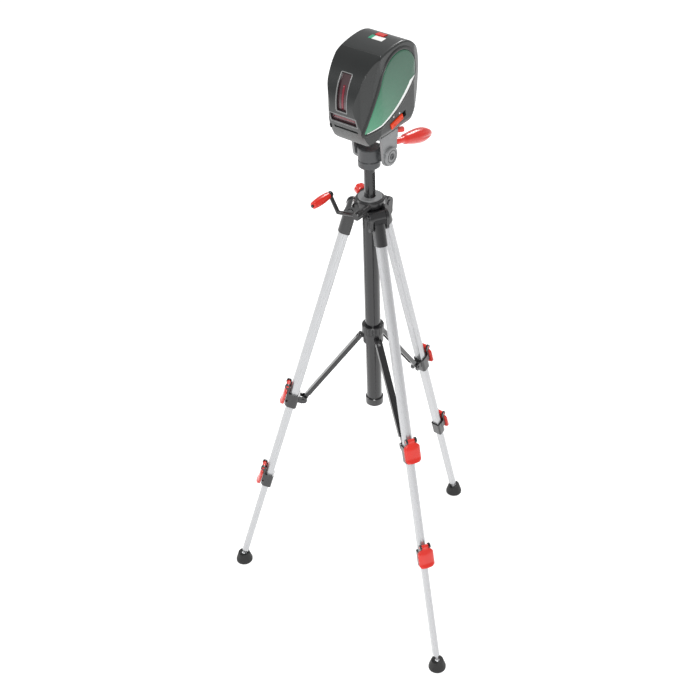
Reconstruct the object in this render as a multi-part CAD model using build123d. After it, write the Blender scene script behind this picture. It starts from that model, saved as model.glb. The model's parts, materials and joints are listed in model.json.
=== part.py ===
"""Cross-line laser level on a telescopic aluminium tripod.

Millimetres, +Z up, floor at Z = 0. The laser and the crank face -Y. The centre column stands on the
local axis (0, 0); write() moves every piece along Y so that the footprint is centred on the origin.
"""
import os
from math import atan2, cos, degrees, hypot, pi, radians, sin, sqrt, tan

from build123d import *

# ---------------------------------------------------------------- fits
RUN = 0.06             # radial running clearance of pins and shafts
SEAT = 0.02            # radial clearance of a pin that stays put in its bore
SLIDE = 0.10           # clearance all round a sliding tube
GAP = 0.4              # free gap between pieces that pass each other

# ---------------------------------------------------------------- tripod stance
LEG_LENGTH = 737.0     # hinge pin to foot ball, along the leg
SPLAY = 16.3           # leg angle from the vertical, legs open
FOLD = 12.0            # how far a leg folds in from there
HINGE_RADIUS = 26.0    # hinge pins from the column axis
FOOT_BALL_Z = 13.0
LEGS = {"back": 90.0, "left": 210.0, "right": 330.0}

# ---------------------------------------------------------------- leg sections
TUBE_WIDTH, TUBE_DEPTH, TUBE_CORNER = 13.6, 15.0, 1.6
TUBE_WALL = 0.8
TUBE_GAP = 0.25        # between one section and the next
UPPER_TOP, UPPER_CLAMP = 14.0, 366.0      # distances below the hinge pin
MIDDLE_TOP, LOWER_CLAMP = 222.0, 546.0
LOWER_TOP = 405.0
FOOT_STEM = 14.0       # bare rod between the lowest section and the foot ball

# ---------------------------------------------------------------- leg cap and hinge
KNUCKLE_R, KNUCKLE_HALF = 8.0, 9.6
PIN_R, PIN_HEAD_R, PIN_HEAD = 2.6, 4.2, 1.3
CHEEK = 4.0            # cheek plate thickness
CAP_WALL = 1.6
CAP_TOP, CAP_END = 9.5, 42.0

# ---------------------------------------------------------------- leg clamp and lever
CLAMP_WALL, CLAMP_HALF = 2.4, 13.0
LEVER_PIN_R = 2.0
LEVER_THICK, LEVER_LENGTH, LEVER_HALF = 4.0, 35.0, 12.5
EAR_IN, EAR_OUT, EAR_R = 5.8, 8.6, 4.2
EAR_RISE = 26.0        # lever pin above the middle of the clamp
STRUT_LUG_OUT, STRUT_LUG_RISE = 16.8, 6.0

# ---------------------------------------------------------------- foot
FOOT_R, FOOT_TOP_R, FOOT_HEIGHT, FOOT_RIM = 13.8, 9.5, 17.0, 3.0
BALL_R, STEM_R, SOCKET_MOUTH_R = 5.2, 2.6, 4.0

# ---------------------------------------------------------------- crown and guide tube
HUB_R, DECK_R = 16.5, 21.0
HUB_DROP, DECK_RISE, DECK_TOP = 7.0, 8.6, 18.0   # from the hinge height
GUIDE_R, GUIDE_WALL, GUIDE_RISE = 11.5, 2.0, 3.0
GUIDE_DROP = 344.4     # lower end of the guide tube, below the hinge height
END_CAP_R, END_CAP_HEIGHT, END_CAP_FLOOR = 13.5, 12.0, 2.5
RING_R, RING_THICK = 17.0, 1.6

# ---------------------------------------------------------------- column, rack and crank
COLUMN_R, COLUMN_BORE_R = 7.75, 4.5
COLUMN_DROP, COLUMN_RISE = 305.4, 66.6  # column ends below and above the hinge height
COLUMN_FOOT = 10.0
MODULE, PINION_TEETH = 0.8, 10
ADDENDUM, DEDENDUM, BACKLASH = 0.7, 0.95, 0.16   # tooth height shares of the module; backlash in mm
PRESSURE_ANGLE = 20.0
RACK_DEPTH = 1.75      # rack pitch line below the column's surface
RACK_HALF, PINION_HALF = 3.0, 2.8
RACK_DROP, RACK_RISE = 220.4, 57.6      # rack ends below and above the hinge height
CRANK_RISE = 11.5      # crank shaft above the hinge height
CRANK_SHAFT_R, CRANK_BOSS_R = 2.5, 4.5
CRANK_BOSS_END, CRANK_HUB_LENGTH, CRANK_HUB_R = 36.0, 10.0, 6.0
CRANK_BEND, CRANK_END = (-34.0, -7.0), (-47.0, 17.0)
CRANK_ARM_R = 2.9
GRIP_R, GRIP_LENGTH, SPINDLE_R = 6.2, 34.0, 2.0
KNOB_AZIMUTH, KNOB_RISE = 150.0, 11.5
KNOB_R, KNOB_LENGTH, KNOB_SCREW_R = 8.5, 12.0, 3.0
KNOB_START, KNOB_BOSS_R, KNOB_LOBES = 25.5, 6.0, 6

# ---------------------------------------------------------------- leg brace
COLLAR_DROP, COLLAR_R, COLLAR_HEIGHT = 220.4, 15.2, 16.0
BRACE_PIVOT_R, TONGUE_HALF, TONGUE_R, BRACE_PIN_R = 19.0, 2.5, 3.4, 1.5
LOCK_RING_R, LOCK_RING_HEIGHT, LOCK_RIBS = 16.4, 14.0, 20
STRUT_HALF, STRUT_WALL, STRUT_DEPTH = 4.9, 1.9, 6.4
STRUT_TONGUE, LUG_CHEEK = 15.0, 2.4

# ---------------------------------------------------------------- head
PAN_R, PAN_BASE_HEIGHT, PAN_BODY_HEIGHT = 15.4, 10.0, 18.3
PAN_GAP, SPIGOT_R, SPIGOT_HEIGHT = 0.3, 6.0, 6.0
TILT_BACK, TILT_RISE = 12.0, 17.0      # tilt axis behind the column and above the column top
BARREL_R, BARREL_HALF = 11.5, 22.0
PLATE_THICK, PLATE_R = 3.7, 14.5
PLATFORM_RISE, PLATFORM_THICK, PLATFORM_HALF = 34.0, 4.5, 18.5
DISC_R, DISC_THICK, TILT_BOLT_R = 13.0, 3.6, 3.0
HANDLE_X, HANDLE_BACK, HANDLE_RISE, HANDLE_DIP = 17.0, 24.0, 9.0, 15.0
HANDLE_NECK_R, HANDLE_NECK, HANDLE_GRIP_R, HANDLE_GRIP = 4.6, 27.0, 10.9, 66.0
HANDLE_STUD_R, HANDLE_STUD, BOSS_TOP = 3.0, 9.0, 19.0
SCREW_R, SCREW_REACH = 3.1, 8.0
LEVER_ARM, LEVER_ARM_ANGLE, LEVER_ARM_HALF, LEVER_ARM_THICK = 42.0, 50.7, 4.0, 4.5
LEVER_HEAD_R = 8.0

# ---------------------------------------------------------------- laser body, in (forward, height)
LASER_HALF = 33.0      # half width of the grey housing
LASER_WALL, LASER_SIDE_WALL = 2.6, 4.0
LASER_HEIGHT, CROWN_R = 125.0, 48.0    # overall height and the radius of the round top
LASER_REAR, LASER_FRONT = -75.0, 55.0
CROWN_CENTRE = (LASER_REAR + CROWN_R, LASER_HEIGHT - CROWN_R)
BASE_REAR, BASE_FRONT = -44.0, 34.0
NOSE_HALF, NOSE_START = 24.0, 16.0
TAIL_HALF, TAIL_START = 27.0, -58.0
EDGE_ROUND, KEEL_ROUND, NOSE_ROUND = 3.0, 13.0, 11.0
WINDOW_RECESS, WINDOW_GLASS, WINDOW_FRAME = 3.2, 1.4, 2.0
TALL_WINDOW = (8.0, 52.0, 100.0)       # half width, low, high
WIDE_WINDOW = (21.0, 33.0, 46.0)
PANEL_PROUD, PANEL_DEPTH = 1.2, 1.8
SWITCH_AT, SWITCH_TILT = (-18.0, 17.0), 12.0
SWITCH_LENGTH, SWITCH_WIDTH, SWITCH_TRAVEL = 26.0, 8.0, 8.0
SWITCH_PROUD, SWITCH_FLANGE = 2.2, 1.3
BUTTON_AT, BUTTON_SIZE, BUTTON_PROUD, BUTTON_DEPTH = -32.0, (13.0, 9.0), 1.2, 5.0
COVER_HALF, COVER_LOW, COVER_HIGH = 24.0, 20.0, 68.0
BATTERY_R, BATTERY_LENGTH = 7.1, 50.0
BATTERIES_AT = [(-53.0, 27.0), (-57.5, 42.5), (-60.0, 58.5)]
PARTITION_AT, PARTITION = -44.0, 1.5
GIMBAL_AT = (-14.0, 98.0)
GIMBAL_IN, GIMBAL_OUT, GIMBAL_THICK, GIMBAL_PIN_R = 10.0, 13.0, 4.0, 1.2
MODULE_R, MODULES_AT, MODULE_FRONT, MODULE_BACK = 7.0, (76.0, 42.0), 26.0, -24.0
BOARD_X, BOARD_THICK = 22.0, 1.6

# ---------------------------------------------------------------- derived places
HINGE_Z = FOOT_BALL_Z + LEG_LENGTH * cos(radians(SPLAY))
FOOT_REACH = HINGE_RADIUS + LEG_LENGTH * sin(radians(SPLAY))
TUBE_END = LEG_LENGTH - FOOT_STEM      # lower end of the lowest section, below the hinge pin
GUIDE_BOTTOM_Z = HINGE_Z - GUIDE_DROP
COLUMN_BOTTOM_Z, COLUMN_TOP_Z = HINGE_Z - COLUMN_DROP, HINGE_Z + COLUMN_RISE
RACK_BOTTOM_Z, RACK_TOP_Z = HINGE_Z - RACK_DROP, HINGE_Z + RACK_RISE
COLLAR_Z = HINGE_Z - COLLAR_DROP
COLUMN_Y = -FOOT_REACH / 4             # one leg back, two forward: this centres the footprint
STEP = TUBE_WALL + TUBE_GAP            # each section is this much smaller all round
PITCH_R = MODULE * PINION_TEETH / 2
RACK_LINE = COLUMN_R - RACK_DEPTH      # rack pitch line from the column axis
CRANK_X, CRANK_Z = RACK_LINE + PITCH_R, HINGE_Z + CRANK_RISE
LUG_S = UPPER_CLAMP - STRUT_LUG_RISE
STRUT_FOOT_R = (HINGE_RADIUS - STRUT_LUG_OUT * cos(radians(SPLAY)) + LUG_S * sin(radians(SPLAY)))
STRUT_FOOT_Z = HINGE_Z - STRUT_LUG_OUT * sin(radians(SPLAY)) - LUG_S * cos(radians(SPLAY))
STRUT_RUN, STRUT_FALL = STRUT_FOOT_R - BRACE_PIVOT_R, COLLAR_Z - STRUT_FOOT_Z
STRUT_LENGTH = hypot(STRUT_RUN, STRUT_FALL)
STRUT_ANGLE = degrees(atan2(STRUT_RUN, STRUT_FALL))
TILT_Z = COLUMN_TOP_Z + TILT_RISE
LASER_Z = TILT_Z + PLATFORM_RISE       # underside of the laser, top of the platform
BASE = (Align.CENTER, Align.CENTER, Align.MIN)


# ---------------------------------------------------------------- small helpers
def rod(radius, length, start, direction=(0, 0, 1)):
    """A cylinder from start along direction."""
    return Plane(origin=start, z_dir=direction) * Cylinder(radius, length, align=BASE)


def block(x, y, z):
    """A box between two values on each axis."""
    size = [high - low for low, high in (x, y, z)]
    middle = [(high + low) / 2 for low, high in (x, y, z)]
    return Pos(*middle) * Box(*size)


def bar(radius, start, end):
    """A round-ended bar between two points."""
    run = Vector(*end) - Vector(*start)
    ends = Pos(*start) * Sphere(radius) + Pos(*end) * Sphere(radius)
    return ends + rod(radius, run.length, start, run)


def slab(face, low, high):
    """A plate with its outline in the side view (Y, Z), between two X values."""
    return Pos(low, 0, 0) * extrude(Plane.YZ * face, high - low)


def around(azimuth, radius, height, shape):
    """A shape built facing +Y, carried to an azimuth, radius and height."""
    return Rot(0, 0, azimuth - 90) * Pos(0, radius, height) * shape


def on_leg(azimuth, shape):
    """A shape built with the leg along -Z from its hinge pin, outer face towards +Y."""
    return around(azimuth, HINGE_RADIUS, HINGE_Z, Rot(SPLAY, 0, 0) * shape)


def leg_outline(grow=0.0):
    """The D section of a leg, made larger or smaller all round."""
    half, back = TUBE_WIDTH / 2 + grow, -TUBE_DEPTH / 2 - grow
    shoulder = (TUBE_DEPTH - TUBE_WIDTH) / 2
    sides = Polyline((half, shoulder), (half, back), (-half, back), (-half, shoulder))
    nose = CenterArc((0, shoulder), half, 0, 180)
    face = make_face(sides.edges() + nose.edges())
    return fillet(face.vertices().group_by(Axis.Y)[0], max(TUBE_CORNER + grow, 0.4))


def leg_piece(grow, top, bottom):
    """A solid of the leg section between two distances below the hinge pin."""
    return Pos(0, 0, -bottom) * extrude(leg_outline(grow), bottom - top)


# ---------------------------------------------------------------- legs
def leg_tube(grow, top, bottom):
    return leg_piece(grow, top, bottom) - leg_piece(grow - TUBE_WALL, top - 1, bottom + 1)


def leg_cap():
    """Knuckle barrel with the socket that the top tube is pressed into."""
    barrel = rod(KNUCKLE_R, 2 * KNUCKLE_HALF, (-KNUCKLE_HALF, 0, 0), (1, 0, 0))
    half = TUBE_WIDTH / 2 + CAP_WALL - 0.1
    neck = block((-half, half), (1.5 - KNUCKLE_R, KNUCKLE_R - 0.5), (-CAP_TOP - 1, 0))
    socket = leg_piece(CAP_WALL, CAP_TOP, CAP_END)
    cap = barrel + neck + socket - leg_piece(0, UPPER_TOP, CAP_END + 1)
    return cap - rod(PIN_R + RUN, 60, (-30, 0, 0), (1, 0, 0))


def clamp_lever_pin(grow):
    """Where the lever turns, as (outward, below the middle of the clamp)."""
    return TUBE_DEPTH / 2 + grow + CLAMP_WALL + GAP + LEVER_THICK / 2, EAR_RISE


def leg_clamp(grow, middle, lug):
    """Housing on the lower end of a tube, with ears for the lever and a lug for the brace strut."""
    top, bottom = middle - CLAMP_HALF, middle + CLAMP_HALF
    body = leg_piece(grow + CLAMP_WALL, top, bottom)
    pin_y, rise = clamp_lever_pin(grow)
    pin_z = -middle + rise
    for side in (-1, 1):
        low, high = sorted((side * EAR_IN, side * EAR_OUT))
        foot = TUBE_DEPTH / 2 + grow - 1.0
        body += block((low, high), (foot - 6, pin_y + 1), (-middle, -top))
        body += block((low, high), (foot + 0.6, pin_y), (-middle + 6, pin_z))
        body += rod(EAR_R, EAR_OUT - EAR_IN, (low, pin_y, pin_z), (1, 0, 0))
    if lug:
        body += strut_lug(middle, grow)
    body -= leg_piece(grow, top - 30, middle)
    body -= leg_piece(grow - STEP + SLIDE, middle - 1, bottom + 1)
    swing = LEVER_HALF + GAP
    body -= block((-swing, swing), (pin_y - LEVER_THICK / 2 - GAP / 2, pin_y + 9),
                  (-bottom - 1, pin_z - EAR_R - 2))
    return body - rod(LEVER_PIN_R + RUN, 40, (-20, pin_y, pin_z), (1, 0, 0))


def strut_lug(middle, grow):
    """Two cheeks on the inner face, either side of the strut's foot, with rivet heads outside."""
    lug_z = -(middle - STRUT_LUG_RISE)
    inner = STRUT_HALF - STRUT_WALL + GAP
    wall = TUBE_DEPTH / 2 + grow + CLAMP_WALL
    lug = None
    for side in (-1, 1):
        low, high = sorted((side * inner, side * (inner + LUG_CHEEK)))
        cheek = rod(6.2, LUG_CHEEK, (low, -STRUT_LUG_OUT, lug_z), (1, 0, 0))
        cheek += block((low, high), (-STRUT_LUG_OUT, -wall + 2), (lug_z - 7, lug_z + 5.5))
        cheek += rod(2.2, LUG_CHEEK + 1, (min(low, side * (inner + LUG_CHEEK + 1)),
                                          -STRUT_LUG_OUT, lug_z), (1, 0, 0))
        lug = cheek if lug is None else lug + cheek
    return lug


def clamp_lever(grow, middle):
    """Flip lever, closed: it hangs from its trunnions over the outer face of the clamp."""
    pin_y, rise = clamp_lever_pin(grow)
    pin_z = -middle + rise
    inner, outer = pin_y - LEVER_THICK / 2, pin_y + LEVER_THICK / 2
    neck = EAR_IN - GAP
    arm = rod(3.0, 2 * neck, (-neck, pin_y, pin_z), (1, 0, 0))
    arm += block((-neck, neck), (inner, outer), (pin_z - EAR_R - 3, pin_z))
    paddle = block((-LEVER_HALF, LEVER_HALF), (inner, outer),
                   (pin_z - LEVER_LENGTH, pin_z - EAR_R - 2.5))
    paddle = fillet(paddle.edges().filter_by(Axis.Y), 2.5)
    lip = block((-LEVER_HALF + 2, LEVER_HALF - 2), (inner, outer + 2.5),
                (pin_z - LEVER_LENGTH, pin_z - LEVER_LENGTH + 4))
    lip = fillet(lip.edges().filter_by(Axis.X).group_by(Axis.Y)[-1], 1.5)
    trunnions = rod(LEVER_PIN_R, 2 * EAR_OUT, (-EAR_OUT, pin_y, pin_z), (1, 0, 0))
    return arm + paddle + lip + trunnions


def lower_tube():
    """The thinnest section, closed by a plug that carries the foot's ball."""
    grow = -2 * STEP
    tube = leg_tube(grow, LOWER_TOP, TUBE_END)
    tube += leg_piece(grow, TUBE_END - 6, TUBE_END + 2)
    tube += rod(STEM_R, LEG_LENGTH - TUBE_END, (0, 0, -LEG_LENGTH))
    return tube + Pos(0, 0, -LEG_LENGTH) * Sphere(BALL_R)


def foot(azimuth):
    """Rubber cone, flat underneath, snapped over the ball; the slot gives the stem room to lean in."""
    cone = rod(FOOT_R, FOOT_RIM, (0, 0, 0))
    cone += Pos(0, 0, FOOT_RIM) * Cone(FOOT_R, FOOT_TOP_R, FOOT_HEIGHT - FOOT_RIM, align=BASE)
    cone -= Pos(0, 0, FOOT_BALL_Z) * Sphere(BALL_R + RUN)
    cone -= rod(SOCKET_MOUTH_R, FOOT_HEIGHT, (0, 0, FOOT_BALL_Z))
    slot = STEM_R + GAP
    cone -= block((-slot, slot), (-FOOT_R, 0), (FOOT_BALL_Z + 1.5, FOOT_HEIGHT + 1))
    return around(azimuth, FOOT_REACH, 0, cone)


# ---------------------------------------------------------------- crown
def cheek_outline():
    """Key-shaped cheek plate in (outward, up) from the hinge pin."""
    round_top = Circle(KNUCKLE_R + 0.8)
    round_foot = Pos(1.5, -15) * Circle(6.0)
    waist = make_face(Polyline((-7, -2), (-4.0, -15), (7.0, -15), (8.4, -2), (-7, -2)))
    root = Pos(-HINGE_RADIUS / 2 - 2, 2.5) * Rectangle(HINGE_RADIUS - 8, 19)
    return round_top + round_foot + waist + root


def crown():
    """Central casting: hub, deck, three pairs of cheeks, crank boss and lock-knob boss."""
    body = rod(HUB_R, HUB_DROP + DECK_TOP - 1, (0, 0, HINGE_Z - HUB_DROP))
    deck = rod(DECK_R, DECK_TOP - DECK_RISE, (0, 0, HINGE_Z + DECK_RISE))
    body += chamfer(deck.edges().sort_by(Axis.Z)[-1], 2.0)
    inner = KNUCKLE_HALF + GAP
    for azimuth in LEGS.values():
        for low in (-inner - CHEEK, inner):
            plate = slab(cheek_outline(), low, low + CHEEK)
            body += around(azimuth, HINGE_RADIUS, HINGE_Z, plate)
    body += rod(CRANK_BOSS_R, CRANK_BOSS_END, (CRANK_X, 0, CRANK_Z), (0, -1, 0))
    body += around(KNOB_AZIMUTH, 0, HINGE_Z + KNOB_RISE,
                   rod(KNOB_BOSS_R, KNOB_START - 1, (0, 0, 0), (0, 1, 0)))
    body -= crown_bores()
    for azimuth in LEGS.values():
        body -= around(azimuth, HINGE_RADIUS, HINGE_Z, leg_swing_room())
    return body


def leg_swing_room():
    """Room for the knuckle between its cheeks."""
    half = KNUCKLE_HALF + GAP
    return rod(KNUCKLE_R + GAP, 2 * half, (-half, 0, 0), (1, 0, 0))


def crown_bores():
    """Everything that is drilled through the crown."""
    tube_top = HINGE_Z + GUIDE_RISE
    cut = rod(GUIDE_R, 60, (0, 0, tube_top - 60))
    cut += rod(COLUMN_R + SLIDE, 60, (0, 0, tube_top - 1))
    cut += rod(CRANK_SHAFT_R + RUN, 60, (CRANK_X, PINION_HALF + 7, CRANK_Z), (0, -1, 0))
    cut += rod(PITCH_R + MODULE + 0.5, 2 * PINION_HALF + 1,
               (CRANK_X, PINION_HALF + 0.5, CRANK_Z), (0, -1, 0))
    cut += around(KNOB_AZIMUTH, 0, HINGE_Z + KNOB_RISE,
                  rod(KNOB_SCREW_R + RUN, 60, (0, 0, 0), (0, 1, 0)))
    for azimuth in LEGS.values():
        cut += around(azimuth, HINGE_RADIUS, HINGE_Z, rod(PIN_R + SEAT, 60, (-30, 0, 0), (1, 0, 0)))
    return cut


def hinge_pins():
    reach = KNUCKLE_HALF + GAP + CHEEK
    pins = []
    for azimuth in LEGS.values():
        pin = rod(PIN_R, 2 * reach, (-reach, 0, 0), (1, 0, 0))
        pin += rod(PIN_HEAD_R, PIN_HEAD, (reach, 0, 0), (1, 0, 0))
        pin += rod(PIN_HEAD_R, PIN_HEAD, (-reach - PIN_HEAD, 0, 0), (1, 0, 0))
        pins.append(around(azimuth, HINGE_RADIUS, HINGE_Z, pin))
    return Compound(children=[pin.solid() for pin in pins])


def guide_tube():
    length = HINGE_Z + GUIDE_RISE - GUIDE_BOTTOM_Z
    tube = rod(GUIDE_R, length, (0, 0, GUIDE_BOTTOM_Z))
    return tube - rod(GUIDE_R - GUIDE_WALL, length + 2, (0, 0, GUIDE_BOTTOM_Z - 1))


def tube_end_cap():
    """Flanged cap on the lower end of the guide tube, with a vent hole."""
    cap = rod(END_CAP_R, END_CAP_HEIGHT, (0, 0, GUIDE_BOTTOM_Z - END_CAP_FLOOR))
    cap = chamfer(cap.edges().sort_by(Axis.Z)[-1], 1.0)
    cap -= rod(GUIDE_R, END_CAP_HEIGHT, (0, 0, GUIDE_BOTTOM_Z))
    return cap - rod(3.0, 10, (0, 0, GUIDE_BOTTOM_Z - 8))


def crown_ring():
    ring = rod(RING_R, RING_THICK, (0, 0, HINGE_Z + DECK_TOP))
    ring = chamfer(ring.edges().sort_by(Axis.Z)[-1], 0.5)
    return ring - rod(COLUMN_R + GAP, 5, (0, 0, HINGE_Z + DECK_TOP - 1))


# ---------------------------------------------------------------- column, rack and crank
def rack_outline():
    """Straight-sided teeth in (X, Z), one of them centred on the crank shaft's height."""
    pitch = pi * MODULE
    lean = tan(radians(PRESSURE_ANGLE))
    tip, root = RACK_LINE + ADDENDUM * MODULE, RACK_LINE - DEDENDUM * MODULE
    half = pitch / 4 - BACKLASH / 2
    half_tip, half_root = half - ADDENDUM * MODULE * lean, half + DEDENDUM * MODULE * lean
    first = -int((CRANK_Z - RACK_BOTTOM_Z) / pitch)
    last = int((RACK_TOP_Z - CRANK_Z) / pitch)
    inside = root - 0.5
    points = [(inside, CRANK_Z + (first - 0.5) * pitch)]
    for tooth in range(first, last + 1):
        z = CRANK_Z + tooth * pitch
        points += [(root, z - half_root), (tip, z - half_tip), (tip, z + half_tip),
                   (root, z + half_root)]
    points += [(inside, CRANK_Z + (last + 0.5) * pitch), points[0]]
    return make_face(Polyline(*points))


def column():
    """Tube with a toothed rack let into its +X side and a guide collar at its foot."""
    height = COLUMN_TOP_Z - COLUMN_BOTTOM_Z
    body = rod(COLUMN_R, height, (0, 0, COLUMN_BOTTOM_Z))
    body += rod(GUIDE_R - GUIDE_WALL - SLIDE, COLUMN_FOOT, (0, 0, COLUMN_BOTTOM_Z))
    root = RACK_LINE - DEDENDUM * MODULE
    body -= block((root, COLUMN_R + 1), (-RACK_HALF, RACK_HALF), (RACK_BOTTOM_Z, RACK_TOP_Z))
    teeth = extrude(Plane.XZ.offset(-RACK_HALF) * rack_outline(), 2 * RACK_HALF)
    body += teeth
    return body - rod(COLUMN_BORE_R, height - 20, (0, 0, COLUMN_BOTTOM_Z - 1))


def pinion_outline():
    """Involute teeth thinned by the backlash, with a gap facing the rack tooth at -X."""
    lean = radians(PRESSURE_ANGLE)
    base, tip = PITCH_R * cos(lean), PITCH_R + ADDENDUM * MODULE
    root = PITCH_R - DEDENDUM * MODULE
    half_pitch = pi / (2 * PINION_TEETH) - BACKLASH / (2 * PITCH_R)
    flank = []
    for step in range(5):
        radius = base + (tip - base) * step / 4
        roll = sqrt(max((radius / base) ** 2 - 1, 0))
        pitch_roll = tan(lean)
        spread = half_pitch + (pitch_roll - lean) - (roll - atan2(roll, 1))
        flank.append((radius, spread))
    points = []
    for tooth in range(PINION_TEETH):
        middle = pi + (tooth + 0.5) * 2 * pi / PINION_TEETH
        side = [(root, -flank[0][1])] + [(r, -a) for r, a in flank]
        side += [(r, a) for r, a in reversed(flank)] + [(root, flank[0][1])]
        points += [(r * cos(middle + a), r * sin(middle + a)) for r, a in side]
    return make_face(Polyline(*points, points[0]))


def crank():
    """Pinion, shaft, hub, cranked arm and the spindle of the grip, turning as one piece."""
    hub_y = -(CRANK_BOSS_END + GAP)
    arm_y = hub_y - CRANK_HUB_LENGTH / 2
    at = Pos(CRANK_X, 0, CRANK_Z)
    body = rod(CRANK_SHAFT_R, PINION_HALF + 6 - arm_y, (0, PINION_HALF + 6, 0), (0, -1, 0))
    body += extrude(Plane.XZ.offset(-PINION_HALF) * pinion_outline(), 2 * PINION_HALF)
    hub = rod(CRANK_HUB_R, CRANK_HUB_LENGTH, (0, hub_y, 0), (0, -1, 0))
    body += chamfer(hub.edges().filter_by(GeomType.CIRCLE), 0.8)
    bend = (CRANK_BEND[0], arm_y, CRANK_BEND[1])
    end = (CRANK_END[0], arm_y, CRANK_END[1])
    body += bar(CRANK_ARM_R, (0, arm_y, 0), bend) + bar(CRANK_ARM_R, bend, end)
    body += rod(CRANK_ARM_R + 1.4, 5, (end[0], arm_y + 2.5, end[2]), (0, -1, 0))
    body += rod(SPINDLE_R, GRIP_LENGTH + 5, end, (0, -1, 0))
    return at * body


def grip_profile():
    """Half section of the barrel grip in (radius, along the spindle)."""
    swell = ThreePointArc((GRIP_R - 1.4, 0), (GRIP_R, GRIP_LENGTH / 2), (GRIP_R - 1.4, GRIP_LENGTH))
    bore = SPINDLE_R + RUN
    rest = Polyline((GRIP_R - 1.4, GRIP_LENGTH), (bore, GRIP_LENGTH), (bore, 0), (GRIP_R - 1.4, 0))
    return make_face(swell.edges() + rest.edges())


def crank_grip():
    start = CRANK_BOSS_END + GAP + CRANK_HUB_LENGTH / 2 + 2.5 + GAP
    body = revolve(Plane.XZ * grip_profile(), Axis.Z)
    place = Pos(CRANK_X + CRANK_END[0], -start, CRANK_Z + CRANK_END[1]) * Rot(90, 0, 0)
    return place * body


def lock_knob():
    """Lobed thumb screw that presses on the column."""
    head = rod(KNOB_R, KNOB_LENGTH, (0, KNOB_START, 0), (0, 1, 0))
    head = chamfer(head.edges().filter_by(GeomType.CIRCLE), 1.0)
    for lobe in range(KNOB_LOBES):
        angle = radians(60 * lobe + 30)
        groove = (1.12 * KNOB_R * cos(angle), KNOB_START - 1, 1.12 * KNOB_R * sin(angle))
        head -= rod(2.4, KNOB_LENGTH + 2, groove, (0, 1, 0))
    tip = COLUMN_R + SLIDE + 0.3
    head += rod(KNOB_SCREW_R, KNOB_START + 1 - tip, (0, tip, 0), (0, 1, 0))
    return around(KNOB_AZIMUTH, 0, HINGE_Z + KNOB_RISE, head)


# ---------------------------------------------------------------- leg brace
def brace_collar():
    """Sliding collar with a tongue and trunnions for each strut."""
    low = COLLAR_Z - COLLAR_HEIGHT / 2
    body = rod(COLLAR_R, COLLAR_HEIGHT, (0, 0, low))
    for azimuth in LEGS.values():
        tongue = rod(TONGUE_R, 2 * TONGUE_HALF, (-TONGUE_HALF, BRACE_PIVOT_R, 0), (1, 0, 0))
        tongue += block((-TONGUE_HALF, TONGUE_HALF), (10, BRACE_PIVOT_R), (-TONGUE_R, TONGUE_R))
        reach = STRUT_HALF + 0.6
        tongue += rod(BRACE_PIN_R, 2 * reach, (-reach, BRACE_PIVOT_R, 0), (1, 0, 0))
        body += around(azimuth, 0, COLLAR_Z, tongue)
    return body - rod(GUIDE_R + SLIDE, COLLAR_HEIGHT + 2, (0, 0, low - 1))


def brace_lock_ring():
    """Ribbed ring that clamps the collar on the guide tube when it is turned."""
    low = COLLAR_Z + COLLAR_HEIGHT / 2 + GAP
    ring = rod(LOCK_RING_R, LOCK_RING_HEIGHT, (0, 0, low))
    ring = chamfer(ring.edges().filter_by(GeomType.CIRCLE), 1.2)
    for rib in range(LOCK_RIBS):
        angle = 2 * pi * rib / LOCK_RIBS
        ring -= rod(0.9, LOCK_RING_HEIGHT + 2,
                    (LOCK_RING_R * cos(angle), LOCK_RING_R * sin(angle), low - 1))
    return ring - rod(GUIDE_R + SLIDE, LOCK_RING_HEIGHT + 2, (0, 0, low - 1))


def brace_strut(azimuth):
    """Channel strut from the collar pin down to the lug on the upper clamp."""
    inner, half_depth = STRUT_HALF - STRUT_WALL, STRUT_DEPTH / 2
    channel_end = STRUT_LENGTH - STRUT_TONGUE
    body = block((-STRUT_HALF, STRUT_HALF), (-half_depth, half_depth), (-channel_end, 0))
    body += rod(half_depth, 2 * STRUT_HALF, (-STRUT_HALF, 0, 0), (1, 0, 0))
    body -= block((-inner, inner), (-half_depth - 1, half_depth - STRUT_WALL), (-channel_end - 1, 4))
    body -= block((-inner, inner), (-half_depth - 1, half_depth + 1), (-TONGUE_R - 3, 4))
    body += block((-inner, inner), (-half_depth, half_depth), (-STRUT_LENGTH, -channel_end + 8))
    body += rod(half_depth, 2 * inner, (-inner, 0, -STRUT_LENGTH), (1, 0, 0))
    body -= rod(BRACE_PIN_R + RUN, 20, (-10, 0, 0), (1, 0, 0))
    return around(azimuth, BRACE_PIVOT_R, COLLAR_Z, Rot(STRUT_ANGLE, 0, 0) * body)


# ---------------------------------------------------------------- head
def pan_base():
    body = rod(PAN_R, PAN_BASE_HEIGHT, (0, 0, COLUMN_TOP_Z))
    body = chamfer(body.edges().filter_by(GeomType.CIRCLE), 1.0)
    return body + rod(SPIGOT_R, PAN_BASE_HEIGHT + SPIGOT_HEIGHT, (0, 0, COLUMN_TOP_Z))


def pan_body():
    """Turning body with the horizontal tilt barrel."""
    low = COLUMN_TOP_Z + PAN_BASE_HEIGHT + PAN_GAP
    body = rod(PAN_R, PAN_BODY_HEIGHT, (0, 0, low))
    body = chamfer(body.edges().filter_by(GeomType.CIRCLE), 1.0)
    body += rod(BARREL_R, 2 * BARREL_HALF, (-BARREL_HALF, TILT_BACK, TILT_Z), (1, 0, 0))
    body -= rod(SPIGOT_R + RUN, SPIGOT_HEIGHT + GAP, (0, 0, low - 0.5))
    bolt_bore = rod(TILT_BOLT_R + RUN, 60, (-30, TILT_BACK, TILT_Z), (1, 0, 0))
    return body - block((-40, 40), (-40, 40), (low - 20, low)) - bolt_bore


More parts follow.
